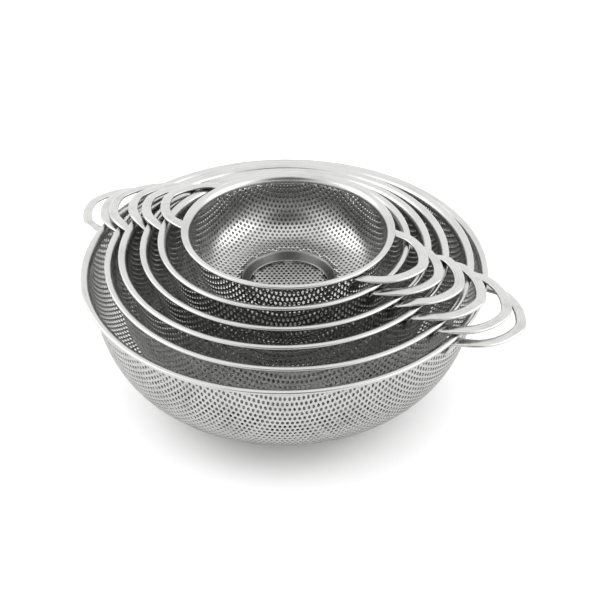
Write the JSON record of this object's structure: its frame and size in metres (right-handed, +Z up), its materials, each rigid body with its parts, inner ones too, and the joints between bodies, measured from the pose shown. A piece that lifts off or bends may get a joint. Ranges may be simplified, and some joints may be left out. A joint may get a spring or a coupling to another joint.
{
  "type": "nested colander bowl set",
  "caption": "Nested set of round perforated steel bowls with rolled rims and paired loop handles, used to drain and hold food.",
  "frame": {"origin": "centre of the bounding box at the underside of the largest bowl", "axes": "+X towards the right-hand handles, +Z up out of the bowls"},
  "size_m": [0.3164, 0.26, 0.1131],
  "materials": {
    "perforated_shell": "satin, perforated",
    "rolled_rim": "fine satin, nearly polished",
    "handle_strip": "polished stainless"
  },
  "bodies": {
    "bowl_135": {"bowl_135_shell": "perforated_shell", "bowl_135_rim": "rolled_rim", "bowl_135_handle_right": "handle_strip", "bowl_135_handle_left": "handle_strip"},
    "bowl_160": {"bowl_160_shell": "perforated_shell", "bowl_160_rim": "rolled_rim", "bowl_160_handle_right": "handle_strip", "bowl_160_handle_left": "handle_strip"},
    "bowl_185": {"bowl_185_shell": "perforated_shell", "bowl_185_rim": "rolled_rim", "bowl_185_handle_right": "handle_strip", "bowl_185_handle_left": "handle_strip"},
    "bowl_210": {"bowl_210_shell": "perforated_shell", "bowl_210_rim": "rolled_rim", "bowl_210_handle_right": "handle_strip", "bowl_210_handle_left": "handle_strip"},
    "bowl_235": {"bowl_235_shell": "perforated_shell", "bowl_235_rim": "rolled_rim", "bowl_235_handle_right": "handle_strip", "bowl_235_handle_left": "handle_strip"},
    "bowl_260": {"bowl_260_shell": "perforated_shell", "bowl_260_rim": "rolled_rim", "bowl_260_handle_right": "handle_strip", "bowl_260_handle_left": "handle_strip"}
  },
  "joints": [
    {"name": "bowl_135_lift_off", "type": "slide", "parent": "bowl_160", "child": "bowl_135", "axis": [0, 0, 1], "range_m": [0, 0.12]},
    {"name": "bowl_160_lift_off", "type": "slide", "parent": "bowl_185", "child": "bowl_160", "axis": [0, 0, 1], "range_m": [0, 0.12]},
    {"name": "bowl_185_lift_off", "type": "slide", "parent": "bowl_210", "child": "bowl_185", "axis": [0, 0, 1], "range_m": [0, 0.12]},
    {"name": "bowl_210_lift_off", "type": "slide", "parent": "bowl_235", "child": "bowl_210", "axis": [0, 0, 1], "range_m": [0, 0.12]},
    {"name": "bowl_235_lift_off", "type": "slide", "parent": "bowl_260", "child": "bowl_235", "axis": [0, 0, 1], "range_m": [0, 0.12]}
  ]
}
